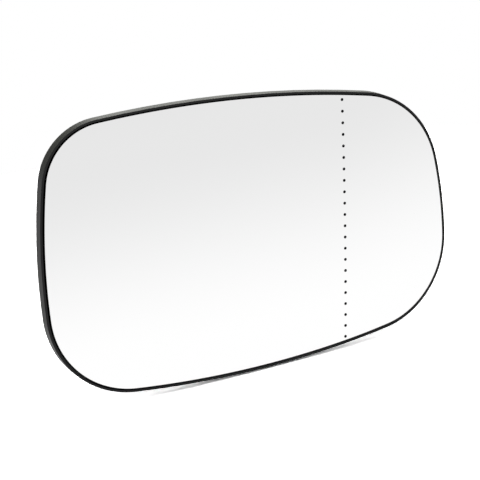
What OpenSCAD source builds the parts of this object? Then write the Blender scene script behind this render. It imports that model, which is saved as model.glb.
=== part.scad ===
// Door mirror glass, right-hand side: a convex glass with an outer wide-angle zone,
// held in a moulded plate that clips onto the mirror's actuator.
// X points outboard, Y points from the glass to its back, Z points up. All sizes are in mm.
// The origin is the centre of the clip ring, half-way along the lands of its barbs.

/* [Corner arcs] */
// X of the upper inboard corner's centre
corner_ui_x = -65.3; // [-72:0.1:-58]
// Z of the upper inboard corner's centre
corner_ui_z = 29.6; // [24:0.1:34]
// Radius of the upper inboard corner
corner_ui_r = 28.1; // [24:0.1:34]
// X of the lower inboard corner's centre
corner_li_x = -54.8; // [-60:0.1:-48]
// Z of the lower inboard corner's centre
corner_li_z = -20.9; // [-26:0.1:-16]
// Radius of the lower inboard corner
corner_li_r = 39.3; // [34:0.1:44]
// X of the lower outboard corner's centre
corner_lo_x = 56.4; // [50:0.1:62]
// Z of the lower outboard corner's centre
corner_lo_z = -12.7; // [-18:0.1:-8]
// Radius of the lower outboard corner
corner_lo_r = 38.1; // [34:0.1:43]
// X of the upper outboard corner's centre
corner_uo_x = 48.9; // [44:0.1:56]
// Z of the upper outboard corner's centre
corner_uo_z = 14.2; // [10:0.1:19]
// Radius of the upper outboard corner
corner_uo_r = 42.2; // [37:0.1:46]

/* [Side arcs] */
// Radius of the long arc along the top
side_top_r = 451; // [300:1:800]
// Radius of the arc down the inboard side
side_in_r = 259; // [180:1:500]
// Radius of the long arc along the bottom
side_bottom_r = 509; // [350:1:900]
// Radius of the arc up the outboard side
side_out_r = 185; // [120:1:300]

/* [Mirror surface] */
// Radius of curvature of the main field
mirror_r = 1250; // [900:10:1600]
// Radius of curvature across the outer wide-angle zone
outer_zone_r = 450; // [300:10:900]
// X of the line where the two zones meet
split_x = 42.5; // [36:0.1:50]

/* [Glass and dots] */
// Thickness of the glass
glass_t = 2; // [1.6:0.1:3]
// Mean gap between the edge of the glass and the rim
glass_gap = 0.45; // [0.4:0.05:0.8]
// How far off-centre the glass is bonded, towards the outboard end
glass_shift = 0.35; // [0:0.05:0.35]
// Number of dots in the split line
dot_count = 22; // [15:1:22]
// Distance between dots
dot_pitch = 5; // [4:0.1:5]
// Z of the middle of the row of dots
dot_mid_z = 1.7; // [0:0.1:3]
// Diameter of a dot
dot_d = 1.3; // [0.8:0.1:2]
// Thickness of the enamel of a dot
dot_t = 0.05; // [0.03:0.01:0.1]

/* [Heater pad] */
// Thickness of the foil heater
pad_t = 0.4; // [0.3:0.1:0.8]
// Thickness of the bond line on each side of the pad
bond_t = 0.1; // [0.05:0.05:0.2]
// Distance from the edge of the glass to the edge of the pad
pad_margin = 3; // [1:0.5:10]

/* [Rim and web] */
// Width of the rim, seen from the front
rim_w = 0.95; // [0.8:0.05:2]
// Depth of the rim, from its front edge to its back edge
rim_d = 5.2; // [4.9:0.1:8]
// How far the rim stands in front of the glass
rim_proud = 0.3; // [0.1:0.1:0.8]
// Thickness of the web behind the heater pad
web_t = 1.6; // [1.2:0.1:2.2]

/* [Ribs] */
// Height of the ribs above the back of the web
rib_h = 2.6; // [1.5:0.1:3.5]
// Thickness of a rib
rib_t = 1.4; // [1:0.1:2]
// Distance from the outer edge to the hoop rib
hoop_inset = 17; // [12:0.5:21]
// Number of radial ribs
rib_count = 12; // [6:1:18]

/* [Clip ring] */
// Radius inside the lands of the barbs, which grip the actuator
clip_r = 29; // [26:0.5:31]
// How far a barb stands in from its finger
barb_d = 0.8; // [0.5:0.1:1.2]
// Length of a barb's land
barb_land = 1.2; // [0.8:0.1:2]
// Length of the lead-in slope at a finger's tip
barb_lead = 1.4; // [1:0.1:2]
// Thickness of the ring's wall and fingers
clip_wall_t = 1.8; // [1.4:0.1:2.4]
// Height of the fingers above the back of the web
finger_h = 9; // [7.5:0.1:12]
// Height of the ring's wall between the fingers
wall_h = 6.4; // [5:0.1:7]
// Number of fingers
finger_count = 6; // [3:1:8]
// Angle that a finger spans
finger_angle = 26; // [18:1:30]
// Width of the slot on each side of a finger
finger_slot_w = 1.8; // [1:0.1:3]

/* [Centre ring] */
// Outer radius of the low ring that centres the pivot
pivot_ring_r = 9; // [7:0.5:12]
// Thickness of the low ring's wall
pivot_ring_t = 1.5; // [1.2:0.1:2]
// Height of the low ring above the back of the web
pivot_ring_h = 2; // [1.5:0.1:3]

/* [Heater terminals] */
// Distance between the middles of the two blades
blade_spacing = 13; // [12:0.5:14]
// X of the blades, inboard of the clip ring
terminal_x = -53; // [-60:0.5:-50]
// Width of a blade
blade_w = 6.3; // [4.8:0.1:6.8]
// Thickness of the sheet
blade_t = 0.8; // [0.6:0.1:1]
// Length of a blade, from the heater pad to its tip
blade_l = 10.5; // [8:0.5:13]
// Length of a foot
foot_l = 8; // [6.5:0.1:9]
// Inner radius of the bend
bend_r = 0.8; // [0.4:0.1:1.2]
// Diameter of the hole in a blade
blade_hole_d = 1.8; // [1.2:0.1:2.2]
// Clearance round a foot in its window
window_gap = 1; // [0.6:0.1:1.5]
// Diameter of a rivet's shank
rivet_d = 2; // [1.6:0.1:2.4]
// Diameter of a rivet's head
rivet_head_d = 4; // [3.2:0.1:4.6]
// Height of a rivet's head
rivet_head_h = 0.9; // [0.6:0.1:1.2]

/* [Hidden] */
$fn = 128;
// Small overlap where one solid cuts or joins another
eps = 0.05;
// Steps between the points of a corner arc and of a side arc, in degrees
corner_step = 4;
side_step = 1.5;

// Depths behind the mirror's front surface
pad_depth = glass_t + bond_t;
seat_depth = pad_depth + pad_t + bond_t;
web_depth = seat_depth + web_t;
rim_depth = rim_d - rim_proud;
rib_depth = web_depth + rib_h;
// Y of the front of the glass at its highest point
tip_y = barb_lead + barb_land / 2;
glass_y = tip_y - finger_h - web_depth;

// Corners in order round the outline, and the side that follows each one
CORNERS = [
    [corner_uo_x, corner_uo_z, corner_uo_r],
    [corner_ui_x, corner_ui_z, corner_ui_r],
    [corner_li_x, corner_li_z, corner_li_r],
    [corner_lo_x, corner_lo_z, corner_lo_r],
];
SIDES = [side_top_r, side_in_r, side_bottom_r, side_out_r];
corner_count = len(CORNERS);

// Half-width of a square that holds the whole outline
reach = max([for (c = CORNERS) max(abs(c[0]), abs(c[1])) + c[2]]) + 20;
// Length of the cutters along Y
through = 60;
// Half-depth of the cutters of a lens section
section_d = 20;
// Height above the apex of the web that the windows under the barbs are cut to
window_rise = 1.5;

function centre(i) = let (c = CORNERS[i % corner_count]) [c[0], c[1]];
function radius(i) = CORNERS[i % corner_count][2];

// Centre of the side arc that touches corners i and i + 1 from outside
function side_centre(i) =
    let (a = centre(i), b = centre(i + 1),
         da = SIDES[i] - radius(i), db = SIDES[i] - radius(i + 1),
         span = norm(b - a), dir = (b - a) / span,
         along = (da * da - db * db + span * span) / (2 * span),
         away = sqrt(da * da - along * along))
    a + dir * along + [-dir[1], dir[0]] * away;

// Direction of a vector, in degrees
function heading(v) = atan2(v[1], v[0]);

// Points along an arc from angle a0 round to a1, without its last point
function arc_points(c, r, a0, a1, step) =
    let (turn = (a1 - a0 + 360) % 360, n = ceil(turn / step))
    [for (k = [0 : n - 1]) c + r * [cos(a0 + turn * k / n), sin(a0 + turn * k / n)]];

// Corner arc i and the side arc that follows it, both moved in by inset
function stretch_points(i, inset) =
    let (c = centre(i), side = side_centre(i),
         before = side_centre((i + corner_count - 1) % corner_count),
         a0 = heading(c - before), a1 = heading(c - side), a2 = heading(centre(i + 1) - side))
    concat(arc_points(c, radius(i) - inset, a0, a1, corner_step),
           arc_points(side, SIDES[i] - inset, a1, a2, side_step));

// Outline of the part, moved in by inset, from four corner arcs and four side arcs
module outline(inset = 0) {
    polygon([for (i = [0 : corner_count - 1]) each stretch_points(i, inset)]);
}

// Outline pushed through the whole depth of the part
module prism(inset = 0, shift = 0) {
    translate([shift, through / 2, 0]) rotate([90, 0, 0]) linear_extrude(through) outline(inset);
}

// Ring about a centre far behind the apex, kept inside a small cutter
module band(c, r, front, back, cutter) {
    intersection() {
        translate(c) difference() {
            circle(r - front, $fn = 256);
            circle(r - back, $fn = 256);
        }
        polygon(cutter);
    }
}

// Section of the layer between two depths, drawn from the apex with depth along -X:
// the main field, then the outer zone on a tighter arc that shares its tangent
module lens_section(front, back) {
    split_a = asin(split_x / mirror_r);
    normal = [cos(split_a), sin(split_a)];
    split_p = mirror_r * normal - [mirror_r, 0];
    inner = split_p - section_d * normal;
    outer = split_p + section_d * normal;
    band([-mirror_r, 0], mirror_r, front, back,
         [inner, outer, [section_d, -reach], [-2 * section_d, -reach]]);
    band(split_p - outer_zone_r * normal, outer_zone_r, front, back,
         [outer, inner, [-2 * section_d, reach], [section_d, reach]]);
}

// Layer between two depths behind the mirror's front surface
module lens_layer(front, back) {
    sweep = 2 * asin(reach / mirror_r);
    translate([0, glass_y + mirror_r, 0])
        rotate([-90, 0, 0]) rotate([0, 90, 0]) rotate([0, 0, -sweep / 2])
            rotate_extrude(angle = sweep, $fn = 256) translate([mirror_r, 0]) lens_section(front, back);
}

// Layer cut to the outline, which may be shifted outboard
module curved_plate(front, back, inset = 0, shift = 0) {
    intersection() {
        prism(inset, shift);
        lens_layer(front, back);
    }
}

// Place children square to the mirror's front surface at x, z in the main field
module on_surface(x, z) {
    translate([0, glass_y + mirror_r, 0])
        rotate([-asin(z / mirror_r), 0, 0]) rotate([0, 0, asin(x / mirror_r)])
            translate([0, -mirror_r, 0]) children();
}

// Place children at one terminal: width along Z, and the foot runs towards the clip ring
module at_terminal(side) {
    on_surface(terminal_x, side * blade_spacing / 2) rotate([0, 90, 0]) children();
}

module mirror_glass() {
    color("lightsteelblue") curved_plate(0, glass_t, rim_w + glass_gap, glass_shift);
}

// Row of dots down the line between the zones; the edge of the glass cuts the end ones
module split_line_dots() {
    first_z = dot_mid_z + (dot_count - 1) * dot_pitch / 2;
    color("black") intersection() {
        for (i = [0 : dot_count - 1])
            translate([split_x, glass_y + through / 2, first_z - i * dot_pitch])
                rotate([90, 0, 0]) cylinder(h = through, d = dot_d, $fn = 24);
        curved_plate(-dot_t, 0, rim_w + glass_gap, glass_shift);
    }
}

module heater_pad() {
    color("darkorange") difference() {
        curved_plate(pad_depth, pad_depth + pad_t, rim_w + glass_gap + pad_margin);
        for (side = [-1, 1]) at_terminal(side) rivet_shank();
    }
}

module rim() {
    intersection() {
        difference() {
            prism(0);
            prism(rim_w);
        }
        lens_layer(-rim_proud, rim_depth);
    }
}

module web() {
    curved_plate(seat_depth, web_depth, rim_w / 2);
}

// Plates that run out from the clip ring like spokes
module spokes() {
    rib_start = clip_r + barb_d + clip_wall_t / 2;
    for (i = [0 : rib_count - 1])
        rotate([0, (i + 0.5) * 360 / rib_count, 0])
            translate([rib_start, -through / 2, -rib_t / 2]) cube([reach, through, rib_t]);
}

// Tall ribs out to a hoop that runs parallel to the edge, then low ones out to the rim
module ribs() {
    root_depth = web_depth - web_t / 2;
    intersection() {
        union() {
            spokes();
            difference() {
                prism(hoop_inset);
                prism(hoop_inset + rib_t);
            }
        }
        curved_plate(root_depth, rib_depth, hoop_inset);
    }
    intersection() {
        spokes();
        curved_plate(root_depth, rim_depth, rim_w / 2);
    }
}

// Section of a finger with its barb, drawn as radius and height above the web
module finger_section() {
    r_in = clip_r + barb_d;
    r_out = r_in + clip_wall_t;
    land_top = finger_h - barb_lead;
    land_low = land_top - barb_land;
    polygon([
        [r_in, -web_t / 2], [r_out, -web_t / 2], [r_out, finger_h],
        [r_in + barb_d / 2, finger_h], [clip_r, land_top], [clip_r, land_low],
        [r_in, land_low - barb_d],
    ]);
}

// Turn a section about the ring's axis, standing on the back of the web
module turned(angle, start) {
    translate([0, tip_y - finger_h, 0]) rotate([-90, 0, 0])
        rotate([0, 0, start]) rotate_extrude(angle = angle) children();
}

module clip_ring() {
    pitch = 360 / finger_count;
    r_in = clip_r + barb_d;
    slot_a = finger_slot_w / r_in * 180 / PI;
    for (i = [0 : finger_count - 1]) {
        turned(finger_angle, i * pitch - finger_angle / 2) finger_section();
        turned(pitch - finger_angle - 2 * slot_a, i * pitch + finger_angle / 2 + slot_a)
            translate([r_in, -web_t / 2]) square([clip_wall_t, wall_h + web_t / 2]);
    }
}

// Opening through the web in front of each barb, where the mould's core passes
module barb_windows() {
    pitch = 360 / finger_count;
    for (i = [0 : finger_count - 1])
        turned(finger_angle, i * pitch - finger_angle / 2)
            translate([clip_r - barb_d, -through / 2]) square([2 * barb_d, through / 2 + window_rise]);
}

module pivot_ring() {
    turned(360, 0) translate([pivot_ring_r - pivot_ring_t, -web_t / 2])
        square([pivot_ring_t, pivot_ring_h + web_t / 2]);
}

// Window in the web round a terminal's foot
module terminal_window() {
    w = blade_w + 2 * window_gap;
    l = foot_l + 2 * window_gap;
    translate([-w / 2, 0, -window_gap]) cube([w, through / 2, l]);
}

module backing_plate() {
    color("#1c1c1c") difference() {
        union() {
            rim();
            web();
            ribs();
            clip_ring();
            pivot_ring();
        }
        barb_windows();
        for (side = [-1, 1]) at_terminal(side) terminal_window();
    }
}

// Section of the bent sheet, drawn as Z and Y: foot flat on the pad, blade standing out
module terminal_section() {
    bend_out = bend_r + blade_t;
    translate([bend_out, 0]) square([foot_l - bend_out, blade_t]);
    translate([0, bend_out]) square([blade_t, blade_l - bend_out]);
    intersection() {
        translate([bend_out, bend_out]) difference() {
            circle(bend_out);
            circle(bend_r);
        }
        square(bend_out);
    }
}

module rivet_shank() {
    shank_l = pad_t + bond_t + blade_t;
    translate([0, pad_depth, rivet_z()]) rotate([-90, 0, 0]) cylinder(h = shank_l, d = rivet_d);
}

// Middle of the flat part of the foot
function rivet_z() = (foot_l + bend_r + blade_t) / 2;

module terminal(side) {
    hole_y = seat_depth + blade_l - blade_w / 2;
    color("silver") at_terminal(side) difference() {
        translate([-blade_w / 2, seat_depth, 0])
            rotate([90, 0, 90]) linear_extrude(blade_w) mirror([1, -1]) terminal_section();
        rivet_shank();
        translate([0, hole_y, -eps]) cylinder(h = blade_t + 2 * eps, d = blade_hole_d);
    }
}

module terminal_upper() {
    terminal(1);
}

module terminal_lower() {
    terminal(-1);
}

// Rivets with a low domed head, which hold the feet to the heater pad
module terminal_rivets() {
    head_y = seat_depth + blade_t;
    head_r = rivet_head_d / 2;
    dome_r = (head_r * head_r + rivet_head_h * rivet_head_h) / (2 * rivet_head_h);
    color("gainsboro") for (side = [-1, 1]) at_terminal(side) {
        rivet_shank();
        intersection() {
            translate([0, head_y + rivet_head_h - dome_r, rivet_z()]) sphere(dome_r);
            translate([0, head_y, rivet_z()]) rotate([-90, 0, 0]) cylinder(h = 2 * dome_r, r = dome_r);
        }
    }
}

mirror_glass();
split_line_dots();
heater_pad();
backing_plate();
terminal_upper();
terminal_lower();
terminal_rivets();
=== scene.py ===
"""Looks of a right-hand car door mirror glass: convex mirror, moulded plate, heater terminals."""

import math

import bpy
import numpy as np
from mathutils import Matrix, Vector


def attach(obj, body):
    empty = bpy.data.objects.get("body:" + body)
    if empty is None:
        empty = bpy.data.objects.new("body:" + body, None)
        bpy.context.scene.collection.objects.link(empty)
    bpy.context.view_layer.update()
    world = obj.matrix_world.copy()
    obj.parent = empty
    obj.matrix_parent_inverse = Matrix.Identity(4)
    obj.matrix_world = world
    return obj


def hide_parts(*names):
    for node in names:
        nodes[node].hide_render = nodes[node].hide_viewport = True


MM = 0.001

# Corner arcs of the outline in mm: x, z, radius, and the radius of the side arc that follows
CORNERS = [
    (48.9, 14.2, 42.2, 451),
    (-65.3, 29.6, 28.1, 259),
    (-54.8, -20.9, 39.3, 509),
    (56.4, -12.7, 38.1, 185),
]

# Front surface of the glass: main field, and the outer zone beyond the dotted line
MIRROR_R = 1250 * MM
OUTER_ZONE_R = 450 * MM
SPLIT_X = 42.5 * MM
GLASS_Y = -11.2 * MM

# Glass: thickness, distance from the outline, shift to the outboard side, rounds on its edges
GLASS_T = 2 * MM
GLASS_INSET = 1.4 * MM
GLASS_SHIFT = 0.35 * MM
GLASS_ROUND = 0.2 * MM

# Fineness of the glass: stations along each arc, rings on its front, steps in a round
CORNER_STEPS = 40
SIDE_STEPS = 56
FIELD_RINGS = 56
ROUND_STEPS = 4
# Place of the one ring on its back, as a share of the way from the middle to the edge
BACK_RING = 0.5
# Distance over which the slope of the front surface is measured
SLOPE_STEP = 0.01 * MM

# Moulding: width of the band along the outline that has the rim's finish
RIM_BAND = 1.2 * MM

# Rounds on the corners of the moulded plate and of the pressed terminals
PLATE_ROUND = 0.2 * MM
TERMINAL_ROUND = 0.1 * MM
BEVEL_SEGMENTS = 3
# Two faces that turn by more than this form a corner
CORNER_ANGLE = math.radians(40)
# Vertices of a CAD node that are closer together than this are one
TWIN_DISTANCE = 0.002 * MM

# Heater: spacing of its printed tracks, and of the wave pattern's bands at a scale of 1
TRACK_PITCH = 4 * MM
WAVE_SPACING = 0.314

# Range in which most of a noise pattern's values lie
NOISE_LOW, NOISE_HIGH = 0.3, 0.7

# Positions of the Mix node's sockets for numbers and for colours, which share their names
NUMBER_A, NUMBER_B, NUMBER_OUT = 2, 3, 0
COLOUR_A, COLOUR_B, COLOUR_OUT = 6, 7, 2

# Camera, fitted to the dots and the outline. It looks at a point on the front surface, and
# its sensor's width is a plain number of millimetres
CAM_AZIMUTH = math.radians(24.685)
CAM_ELEVATION = math.radians(14.651)
CAM_ROLL = math.radians(-1.521)
CAM_DISTANCE = 919.9 * MM
CAM_TARGET = Vector((-7.721, -11.2, -0.233)) * MM
FOCAL_PIXELS = 2188.06
FRAME_PIXELS = 480
SENSOR_W = 36

# Floor: it lies just under the part and rises a little to the outboard side, where the
# photograph's contact shadow is. The blur and the gain soften the shadow
FLOOR_TILT = math.radians(4.9)
FLOOR_DROP = 0.7 * MM
FLOOR_R = 0.4
FLOOR_SIDES = 96
FLOOR_BLUR = 1.5 * MM
FLOOR_GAIN = 1.9

# Lamps: direction towards each, strength, and apparent size in degrees
LAMPS = {
    "key": ((-0.6, -0.45, 0.65), 0.65, 12),
    "back_light": ((0.35, 0.85, 0.45), 0.4, 30),
}

# Light from all round on matt surfaces
EVEN_LEVEL = 0.85
WHITE = (1, 1, 1)

# Light in reflections. Each shade has its start and end along an axis, and the levels there.
# The first one in front is what the photograph shows, and the others darken what lies past it
FRONT_AXIS = (-0.135, 0, 0.991)
FRONT_SHADE = (-0.402, -0.187, 1.009, 0.812)
FRONT_SHADES_PAST_IT = ((-0.9, -0.42, 0.8, 1.0), (-0.187, 0.15, 1.0, 0.72))
BEHIND_AXIS = (0.958, 0, -0.287)
BEHIND_SHADE = (-0.55, 0.0, 0.4, 1.2)
# From the light in front to the light behind
BACKWARD_AXIS = (0, 1, 0)
BACKWARD_SHADE = (-0.2, 0.4, 0, 1)
# From white to the tint high up behind
HIGH_AXIS = (0, 0.707, 0.707)
HIGH_SHADE = (0.5, 0.8, 0, 1)
HIGH_TINT = (0.97, 1, 0.86)


def unit(vectors):
    """The same directions with a length of 1."""
    return vectors / np.linalg.norm(vectors, axis=-1, keepdims=True)


def surface_y(x, z, depth=0.0):
    """Y of the layer that lies depth behind the front surface of the glass."""
    split_angle = math.asin(SPLIT_X / MIRROR_R)
    zone_x = SPLIT_X * (1 - OUTER_ZONE_R / MIRROR_R)
    field = np.sqrt((MIRROR_R - depth) ** 2 - x**2)
    zone = np.sqrt((OUTER_ZONE_R - depth) ** 2 - np.maximum(x - zone_x, 0) ** 2)
    zone += (MIRROR_R - OUTER_ZONE_R) * math.cos(split_angle)
    return GLASS_Y + MIRROR_R - np.sqrt(np.where(x < SPLIT_X, field, zone) ** 2 - z**2)


def surface_normal(x, z):
    """Unit normals of the front surface, towards the viewer."""
    rise_x = surface_y(x + SLOPE_STEP, z) - surface_y(x - SLOPE_STEP, z)
    rise_z = surface_y(x, z + SLOPE_STEP) - surface_y(x, z - SLOPE_STEP)
    slopes = [rise_x / (2 * SLOPE_STEP), -np.ones_like(x), rise_z / (2 * SLOPE_STEP)]
    return unit(np.stack(slopes, -1))


def side_centre(i):
    """Centre of the side arc that touches corners i and i + 1 from outside."""
    (ax, az, ar, side), (bx, bz, br, _) = CORNERS[i], CORNERS[(i + 1) % len(CORNERS)]
    a, b = np.array([ax, az]), np.array([bx, bz])
    span = np.linalg.norm(b - a)
    direction = (b - a) / span
    to_a, to_b = side - ar, side - br
    along = (to_a**2 - to_b**2 + span**2) / (2 * span)
    away = math.sqrt(to_a**2 - along**2)
    return a + direction * along + np.array([-direction[1], direction[0]]) * away


def outline():
    """Stations round the outer edge: points and outward directions, each as X and Z."""
    points, outward = [], []

    def arc(centre, radius, start, end, steps):
        turn = (end - start) % (2 * math.pi)
        for k in range(steps):
            angle = start + turn * k / steps
            direction = np.array([math.cos(angle), math.sin(angle)])
            points.append((centre + radius * direction) * MM)
            outward.append(direction)

    for i, (x, z, radius, side) in enumerate(CORNERS):
        corner, following = np.array([x, z]), np.array(CORNERS[(i + 1) % len(CORNERS)][:2])
        before, after = side_centre((i - 1) % len(CORNERS)), side_centre(i)
        spokes = (corner - before, corner - after, following - after)
        start, middle, end = (math.atan2(spoke[1], spoke[0]) for spoke in spokes)
        arc(corner, radius, start, middle, CORNER_STEPS)
        arc(after, side, middle, end, SIDE_STEPS)
    return np.array(points), np.array(outward)


def glass_rings(edge, outward):
    """Rings of the glass from its middle over the edge to the back. Each has its points in X
    and Z, its depth, and how far its normals turn from the front to outward and on to the back."""
    quarter = [math.pi / 2 * k / ROUND_STEPS for k in range(ROUND_STEPS + 1)]
    front_edge = edge - outward * (GLASS_INSET + GLASS_ROUND)
    rings = [(front_edge * k / FIELD_RINGS, 0, 0) for k in range(1, FIELD_RINGS + 1)]
    for turn in quarter[1:]:
        inset = GLASS_INSET + GLASS_ROUND * (1 - math.sin(turn))
        rings.append((edge - outward * inset, GLASS_ROUND * (1 - math.cos(turn)), turn))
    for turn in quarter:
        inset = GLASS_INSET + GLASS_ROUND * (1 - math.cos(turn))
        depth = GLASS_T - GLASS_ROUND * (1 - math.sin(turn))
        rings.append((edge - outward * inset, depth, math.pi / 2 + turn))
    rings.append((front_edge * BACK_RING, GLASS_T, math.pi))
    return rings


def glass_object(name, front, edge_and_back):
    """Bent sheet of glass: one dense, exactly smooth front, and ground edges with small rounds."""
    edge, outward = outline()
    edge[:, 0] += GLASS_SHIFT
    count = len(edge)
    rings = glass_rings(edge, outward)
    sideways = np.stack([outward[:, 0], np.zeros(count), outward[:, 1]], -1)

    verts, normals = [], []
    for points, depth, turn in rings:
        x, z = points.T
        verts.append(np.stack([x, surface_y(x, z, depth), z], -1))
        normals.append(unit(math.cos(turn) * surface_normal(x, z) + math.sin(turn) * sideways))
    zero = np.zeros(1)
    for depth, sign in ((0, 1), (GLASS_T, -1)):
        verts.append(np.array([[0, surface_y(zero, zero, depth)[0], 0]]))
        normals.append(sign * surface_normal(zero, zero))
    verts, normals = np.concatenate(verts), np.concatenate(normals)

    faces = []
    for ring in range(len(rings) - 1):
        for j in range(count):
            a, b = ring * count + j, ring * count + (j + 1) % count
            faces.append((a, a + count, b + count, b))
    front_hub = len(rings) * count
    back_hub = front_hub + 1
    last = front_hub - count
    faces += [(front_hub, j, (j + 1) % count) for j in range(count)]
    faces += [(back_hub, last + (j + 1) % count, last + j) for j in range(count)]

    # Faces of the front field, of the edge and back, and round the two hubs
    slots = [0] * (FIELD_RINGS - 1) * count + [1] * (len(rings) - FIELD_RINGS) * count
    slots += [0] * count + [1] * count

    mesh = bpy.data.meshes.new(name)
    mesh.from_pydata(verts.tolist(), [], faces)
    mesh.materials.append(front)
    mesh.materials.append(edge_and_back)
    mesh.shade_smooth()
    mesh.normals_split_custom_set_from_vertices(normals.tolist())
    mesh.polygons.foreach_set("material_index", slots)
    obj = bpy.data.objects.new(name, mesh)
    bpy.context.scene.collection.objects.link(obj)
    return obj


def set_inputs(tree, node, inputs):
    """Gives each of these sockets of a node a value or another node's output."""
    for key, value in inputs.items():
        if isinstance(value, bpy.types.NodeSocket):
            tree.links.new(value, node.inputs[key])
        else:
            node.inputs[key].default_value = value


def add_node(tree, kind, inputs=None, **settings):
    """New node, a shader node if kind has no prefix."""
    made = tree.nodes.new(kind if "Node" in kind else "ShaderNode" + kind)
    for key, value in settings.items():
        setattr(made, key, value)
    set_inputs(tree, made, inputs or {})
    return made


def map_range(tree, value, start, end, at_start, at_end, **settings):
    """Value that runs from at_start to at_end while the one given runs from start to end."""
    inputs = {
        "Value": value,
        "From Min": start,
        "From Max": end,
        "To Min": at_start,
        "To Max": at_end,
    }
    return add_node(tree, "MapRange", inputs, **settings).outputs["Result"]


def calculate(tree, operation, a, b):
    """Result of an operation on two numbers."""
    return add_node(tree, "Math", {0: a, 1: b}, operation=operation).outputs[0]


def tone(tree, fac, dark, light):
    """Colour that runs from dark to light with fac."""
    inputs = {"Factor": fac, COLOUR_A: (*dark, 1), COLOUR_B: (*light, 1)}
    return add_node(tree, "Mix", inputs, data_type="RGBA").outputs[COLOUR_OUT]


def mix_shaders(tree, fac, first, second):
    """Shader that runs from first to second with fac."""
    return add_node(tree, "MixShader", {0: fac, 1: first, 2: second}).outputs[0]


def noise(tree, per_metre, detail=2.0, stretch=(1, 1, 1)):
    """Noise in the object's own frame."""
    coord = add_node(tree, "TexCoord")
    mapping = add_node(tree, "Mapping", {"Vector": coord.outputs["Object"], "Scale": stretch})
    inputs = {"Vector": mapping.outputs[0], "Scale": per_metre, "Detail": detail}
    return add_node(tree, "TexNoise", inputs).outputs["Fac"]


def spread(tree, pattern, low, high):
    """Noise pattern taken to the range from low to high."""
    return map_range(tree, pattern, NOISE_LOW, NOISE_HIGH, low, high)


def bump(tree, height, strength, distance):
    """Normals of a surface with a small relief."""
    inputs = {"Height": height, "Strength": strength, "Distance": distance}
    return add_node(tree, "Bump", inputs).outputs["Normal"]


def principled(name, inputs):
    """New material with these constants on its shader."""
    mat = bpy.data.materials.new(name)
    mat.use_nodes = True
    shader = mat.node_tree.nodes["Principled BSDF"]
    set_inputs(mat.node_tree, shader, inputs)
    return mat, mat.node_tree, shader


def chrome_material():
    """Mirror coating with the faintest haze."""
    constants = {"Base Color": (0.99, 0.99, 0.99, 1), "Metallic": 1}
    mat, tree, shader = principled("mirror_chrome", constants)
    haze = spread(tree, noise(tree, per_metre=40), low=0.0, high=0.015)
    set_inputs(tree, shader, {"Roughness": haze})
    return mat


def edge_paint_material():
    """Matt black paint that seals the ground edge of the glass. Its near-black colour and almost
    absent shine are also painted shade, standing in for the dark gap between the glass and the
    rim.
    """
    # Painted shade: near-black with almost no shine, so the gap beside the glass reads as shade
    mat, tree, shader = principled("edge_paint_and_gap_shade", {"Specular IOR Level": 0.02})
    lines = noise(tree, per_metre=900, stretch=(1, 8, 1))
    looks = {
        "Base Color": tone(tree, lines, (0.001, 0.001, 0.001), (0.003, 0.003, 0.003)),
        "Roughness": spread(tree, lines, low=0.7, high=0.9),
        "Normal": bump(tree, lines, strength=0.3, distance=0.02 * MM),
    }
    set_inputs(tree, shader, looks)
    return mat


def rim_material():
    """Black moulding with a fine, even finish."""
    mat, tree, shader = principled("black_rim", {"Specular IOR Level": 0.13})
    cloud = noise(tree, per_metre=45, detail=4)
    fac = spread(tree, cloud, low=0, high=1)
    grain = noise(tree, per_metre=2200)
    looks = {
        "Base Color": tone(tree, fac, (0.010, 0.010, 0.0105), (0.014, 0.014, 0.0145)),
        "Roughness": spread(tree, cloud, low=0.36, high=0.46),
        "Normal": bump(tree, grain, strength=0.25, distance=0.03 * MM),
    }
    set_inputs(tree, shader, looks)
    return mat


def web_material():
    """The same moulding with the coarse matt grain of its back. Its lighter colour is partly the
    greyer look of that grain and partly painted light, standing in for light falling on the back.
    """
    mat, tree, shader = principled("black_web_grain_and_painted_light", {"Specular IOR Level": 0.3})
    cloud = noise(tree, per_metre=30, detail=5)
    fac = spread(tree, cloud, low=0, high=1)
    grain = noise(tree, per_metre=1400, detail=3)
    looks = {
        # Lighter than the rim: partly the grain's greyer look, partly painted light on the back
        "Base Color": tone(tree, fac, (0.022, 0.022, 0.023), (0.034, 0.034, 0.035)),
        "Roughness": spread(tree, cloud, low=0.42, high=0.58),
        "Normal": bump(tree, grain, strength=0.5, distance=0.06 * MM),
    }
    set_inputs(tree, shader, looks)
    return mat


def enamel_material():
    """Black enamel of the dots."""
    constants = {"Base Color": (0.004, 0.004, 0.005, 1), "Specular IOR Level": 0.1}
    mat, tree, shader = principled("dot_enamel", constants)
    set_inputs(tree, shader, {"Roughness": spread(tree, noise(tree, per_metre=3000), 0.25, 0.4)})
    return mat


def foil_material():
    """Black polyester foil with the heater's printed tracks."""
    mat, tree, shader = principled("heater_foil", {})
    inputs = {
        "Vector": add_node(tree, "TexCoord").outputs["Object"],
        "Scale": WAVE_SPACING / TRACK_PITCH,
        "Distortion": 0.4,
    }
    bands = add_node(tree, "TexWave", inputs, bands_direction="Z").outputs["Fac"]
    track = map_range(tree, bands, start=0.45, end=0.55, at_start=0, at_end=1)
    looks = {
        "Base Color": tone(tree, track, (0.012, 0.012, 0.014), (0.16, 0.15, 0.14)),
        "Roughness": spread(tree, noise(tree, per_metre=900), low=0.3, high=0.5),
        "Normal": bump(tree, track, strength=0.3, distance=0.02 * MM),
    }
    set_inputs(tree, shader, looks)
    return mat


def tin_material():
    """Tin plate with faint rolling lines."""
    mat, tree, shader = principled("tin_plate", {"Metallic": 1})
    cloud = noise(tree, per_metre=350, detail=4)
    rolled = noise(tree, per_metre=2500, stretch=(1, 0.06, 1))
    looks = {
        "Base Color": tone(tree, cloud, (0.55, 0.54, 0.52), (0.8, 0.79, 0.77)),
        "Roughness": spread(tree, cloud, low=0.18, high=0.34),
        "Normal": bump(tree, rolled, strength=0.2, distance=0.01 * MM),
    }
    set_inputs(tree, shader, looks)
    return mat


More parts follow.
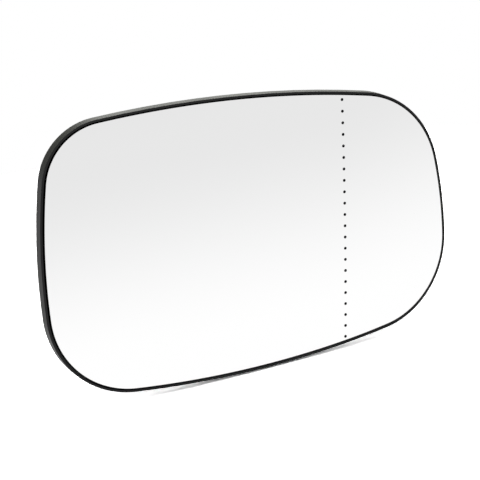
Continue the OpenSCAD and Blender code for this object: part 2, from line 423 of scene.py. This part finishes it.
def rivet_material():
    """Plain aluminium, a little uneven from being pressed."""
    mat, tree, shader = principled("rivet_aluminium", {"Metallic": 1})
    cloud = noise(tree, per_metre=1200, detail=4)
    looks = {
        "Base Color": tone(tree, cloud, (0.5, 0.5, 0.51), (0.75, 0.75, 0.76)),
        "Roughness": spread(tree, cloud, low=0.28, high=0.45),
        "Normal": bump(tree, cloud, strength=0.25, distance=0.02 * MM),
    }
    set_inputs(tree, shader, looks)
    return mat


def dress(obj, *mats):
    """Puts these materials in place of an object's own."""
    obj.data.materials.clear()
    for mat in mats:
        obj.data.materials.append(mat)


def assign_web(plate):
    """Second material for all faces of the plate that lie inside its rim."""
    centres = np.array([(p.center.x, p.center.z) for p in plate.data.polygons])
    depth = np.full(len(centres), np.inf)
    for point, direction in zip(*outline()):
        depth = np.minimum(depth, (point - centres) @ direction)
    plate.data.polygons.foreach_set("material_index", (depth > RIM_BAND).astype(int).tolist())


def corner_finder():
    """Node group that joins a CAD node's patches, gives its outward corners a bevel weight and
    shades it smooth from corner to corner."""
    group = bpy.data.node_groups.new("corner_finder", "GeometryNodeTree")
    for way in ("INPUT", "OUTPUT"):
        group.interface.new_socket("Geometry", in_out=way, socket_type="NodeSocketGeometry")
    angle = add_node(group, "GeometryNodeInputMeshEdgeAngle").outputs["Signed Angle"]

    def compare(operation, limit):
        inputs = {"A": angle, "B": limit}
        return add_node(group, "FunctionNodeCompare", inputs, operation=operation).outputs[0]

    patches = add_node(group, "NodeGroupInput").outputs[0]
    inputs = {"Geometry": patches, "Distance": TWIN_DISTANCE}
    joined = add_node(group, "GeometryNodeMergeByDistance", inputs).outputs[0]
    outward = compare("GREATER_THAN", CORNER_ANGLE)
    inward = compare("LESS_THAN", -CORNER_ANGLE)
    weighted = add_node(
        group,
        "GeometryNodeStoreNamedAttribute",
        {"Geometry": joined, "Name": "bevel_weight_edge", "Value": outward},
        data_type="FLOAT",
        domain="EDGE",
    ).outputs[0]
    inputs = {"Mesh": weighted, "Edge Sharpness": inward}
    shaded = add_node(group, "GeometryNodeSetMeshNormal", inputs).outputs[0]
    add_node(group, "NodeGroupOutput", {0: shaded})
    return group


def soften_edges(obj, width, finder):
    """Small rounds on a CAD node's outward corners, as a mould or a press leaves them. Large
    faces stay evenly shaded beside them."""
    obj.modifiers.new("corner_finder", "NODES").node_group = finder
    bevel = obj.modifiers.new("edge_rounds", "BEVEL")
    bevel.width = width
    bevel.segments = BEVEL_SEGMENTS
    bevel.limit_method = "WEIGHT"
    bevel.use_clamp_overlap = False
    obj.modifiers.new("flat_faces", "WEIGHTED_NORMAL").keep_sharp = True


def floor_material():
    """White and slightly translucent. The camera sees it brighter than it is, so that only the
    deeper part of the shadow shows."""
    mat = bpy.data.materials.new("floor_white")
    mat.use_nodes = True
    tree = mat.node_tree
    tree.nodes.clear()
    plain = add_node(tree, "BsdfDiffuse", {"Color": (*WHITE, 1)}).outputs[0]

    # Two halves, because one shader gives back no more light than it gets
    def scatter():
        half = FLOOR_GAIN / 2
        inputs = {"Color": (half, half, half, 1), "Scale": FLOOR_BLUR, "Radius": (1, 1, 1)}
        return add_node(tree, "SubsurfaceScattering", inputs, falloff="BURLEY").outputs[0]

    bright = add_node(tree, "AddShader", {0: scatter(), 1: scatter()}).outputs[0]
    seen = add_node(tree, "LightPath").outputs["Is Camera Ray"]
    add_node(tree, "OutputMaterial", {"Surface": mix_shaders(tree, seen, plain, bright)})
    return mat


def make_floor(standing):
    """Tilted floor under the lowest point of the part that stands on it."""
    up = Vector((-math.sin(FLOOR_TILT), 0, math.cos(FLOOR_TILT)))
    height = min(v.co.dot(up) for v in standing.data.vertices) - FLOOR_DROP
    bpy.ops.mesh.primitive_circle_add(
        vertices=FLOOR_SIDES, radius=FLOOR_R, fill_type="NGON", location=up * height
    )
    floor = bpy.context.object
    floor.name = "floor"
    floor.rotation_euler = up.to_track_quat("Z", "Y").to_euler()
    dress(floor, floor_material())
    floor.visible_glossy = False


def make_world():
    """White to the camera, even light on matt surfaces, and soft gradients in reflections: in
    front from white near the ground to light grey at the horizon and darker past both, behind
    from dim on the inboard side to bright, with a little yellow high up."""
    world = bpy.data.worlds.new("studio")
    bpy.context.scene.world = world
    world.use_nodes = True
    tree = world.node_tree
    tree.nodes.clear()
    direction = add_node(tree, "TexCoord").outputs["Generated"]
    ray = add_node(tree, "LightPath").outputs

    def gradient(axis, shade):
        along = add_node(tree, "VectorMath", {0: direction, 1: axis}, operation="DOT_PRODUCT")
        value = along.outputs["Value"]
        return map_range(tree, value, *shade, interpolation_type="SMOOTHSTEP")

    def background(colour, strength):
        return add_node(tree, "Background", {"Color": colour, "Strength": strength}).outputs[0]

    front = gradient(FRONT_AXIS, FRONT_SHADE)
    for shade in FRONT_SHADES_PAST_IT:
        front = calculate(tree, "MULTIPLY", front, gradient(FRONT_AXIS, shade))
    behind = gradient(BEHIND_AXIS, BEHIND_SHADE)
    backward = gradient(BACKWARD_AXIS, BACKWARD_SHADE)
    inputs = {"Factor": backward, NUMBER_A: front, NUMBER_B: behind}
    shine = add_node(tree, "Mix", inputs).outputs[NUMBER_OUT]
    tint = tone(tree, gradient(HIGH_AXIS, HIGH_SHADE), WHITE, HIGH_TINT)

    even = background((*WHITE, 1), EVEN_LEVEL)
    lit = mix_shaders(tree, ray["Is Glossy Ray"], even, background(tint, shine))
    seen = calculate(tree, "MAXIMUM", ray["Is Camera Ray"], ray["Is Transmission Ray"])
    shown = mix_shaders(tree, seen, lit, background((*WHITE, 1), 1))
    add_node(tree, "OutputWorld", {"Surface": shown})


def add_sun(name, towards, strength, degrees):
    """Distant lamp that shines from the direction given."""
    data = bpy.data.lights.new(name, "SUN")
    data.energy = strength
    data.angle = math.radians(degrees)
    lamp = bpy.data.objects.new(name, data)
    lamp.rotation_euler = Vector(towards).to_track_quat("Z", "Y").to_euler()
    bpy.context.scene.collection.objects.link(lamp)


def make_camera():
    """The photograph's camera."""
    level = math.cos(CAM_ELEVATION)
    back = Vector(
        (-math.sin(CAM_AZIMUTH) * level, -math.cos(CAM_AZIMUTH) * level, math.sin(CAM_ELEVATION))
    )
    right = (-back).cross(Vector((0, 0, 1))).normalized()
    up = right.cross(-back)
    c, s = math.cos(CAM_ROLL), math.sin(CAM_ROLL)
    axes = Matrix((right * c + up * s, up * c - right * s, back)).transposed().to_4x4()
    data = bpy.data.cameras.new("camera")
    data.sensor_width = SENSOR_W
    data.lens = FOCAL_PIXELS / FRAME_PIXELS * SENSOR_W
    cam = bpy.data.objects.new("camera", data)
    cam.matrix_world = Matrix.Translation(CAM_TARGET + back * CAM_DISTANCE) @ axes
    bpy.context.scene.collection.objects.link(cam)
    bpy.context.scene.camera = cam


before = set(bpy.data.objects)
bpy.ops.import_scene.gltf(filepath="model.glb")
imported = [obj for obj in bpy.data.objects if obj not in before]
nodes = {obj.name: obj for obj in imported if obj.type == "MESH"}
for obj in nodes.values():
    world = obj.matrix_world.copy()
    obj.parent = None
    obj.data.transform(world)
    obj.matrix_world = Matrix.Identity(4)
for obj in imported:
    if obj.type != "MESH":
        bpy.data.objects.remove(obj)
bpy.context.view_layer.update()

glass = glass_object("mirror_glass_smooth", chrome_material(), edge_paint_material())
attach(glass, "root")
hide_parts("mirror_glass")

dress(nodes["split_line_dots"], enamel_material())
dress(nodes["heater_pad"], foil_material())
dress(nodes["terminal_rivets"], rivet_material())

finder = corner_finder()
dress(nodes["backing_plate"], rim_material(), web_material())
assign_web(nodes["backing_plate"])
soften_edges(nodes["backing_plate"], PLATE_ROUND, finder)
tin = tin_material()
for name in ("terminal_upper", "terminal_lower"):
    dress(nodes[name], tin)
    soften_edges(nodes[name], TERMINAL_ROUND, finder)

make_floor(nodes["backing_plate"])
make_world()
for name, (towards, strength, degrees) in LAMPS.items():
    add_sun(name, towards, strength, degrees)
make_camera()
bpy.context.scene.view_settings.view_transform = "Standard"
